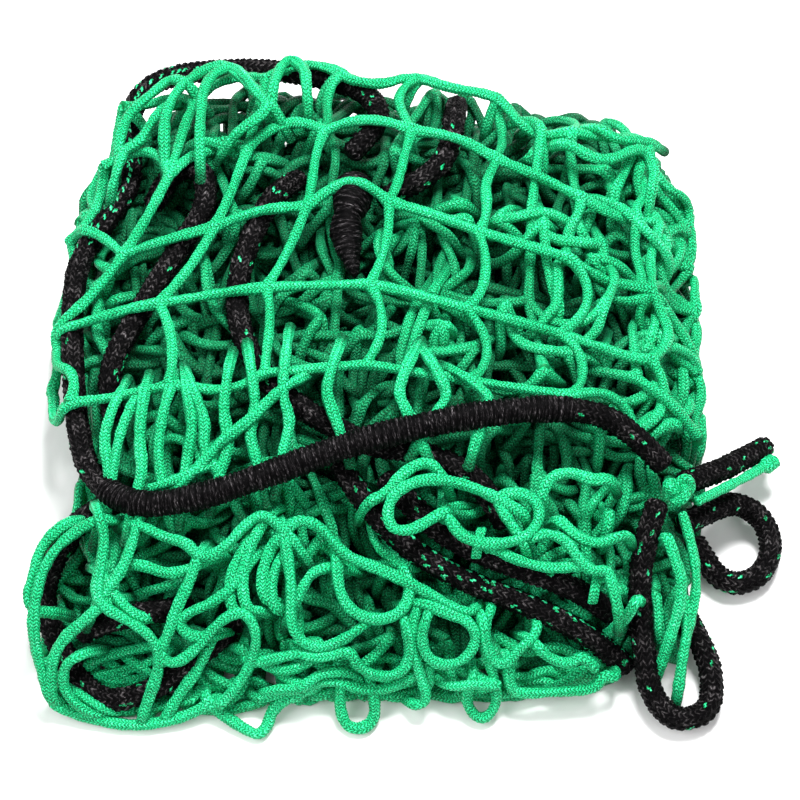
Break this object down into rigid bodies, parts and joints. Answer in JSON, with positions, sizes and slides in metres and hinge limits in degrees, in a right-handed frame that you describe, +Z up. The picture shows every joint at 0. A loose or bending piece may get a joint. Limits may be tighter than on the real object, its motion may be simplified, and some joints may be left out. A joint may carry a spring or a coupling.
{
  "type": "cargo net",
  "caption": "Knotless knitted cargo net with a roped border, folded and bunched into a flat bundle, with a corner eye and a tied rope tail.",
  "frame": {"origin": "on the surface that the folded net lies on, under the middle of the net's box without its ropes", "axes": "+Z up, -Y towards the gathered front where the border rope crosses, +X towards the corner with the eye and the tail"},
  "size_m": [0.3529, 0.3413, 0.088],
  "materials": {
    "net_cord": "knitted polypropylene cord, bright mint green, slightly glossy fibres",
    "border_rope": "knitted black polypropylene rope with a soft sheen",
    "whipping_twine": "black twine wound close, fine ribs",
    "tie_cord": "knitted polypropylene cord, bright mint green"
  },
  "bodies": {
    "root": {"net_fold_base": "net_cord", "net_fold_lower": "net_cord", "net_fold_middle": "net_cord", "net_fold_upper": "net_cord", "net_top_drape": "net_cord", "rope_back_edge": "border_rope", "rope_bottom_left": "border_rope", "rope_corner_eye": "border_rope", "rope_diagonal_lower": "border_rope", "rope_diagonal_upper": "border_rope", "rope_front_run": "border_rope", "rope_inner_run": "border_rope", "rope_inside_right": "border_rope", "rope_left_inner": "border_rope", "rope_lower_left": "border_rope", "rope_right_side": "border_rope", "rope_splice": "whipping_twine", "rope_tail": "border_rope", "rope_top_left": "border_rope", "rope_under_run": "border_rope", "rope_upper_bight": "border_rope", "rope_whipping": "whipping_twine", "tie_corner_knot": "tie_cord", "tie_lacing_left": "tie_cord", "tie_lacing_right": "tie_cord", "tie_long_strand": "tie_cord", "tie_tail_strand": "tie_cord"}
  },
  "joints": []
}
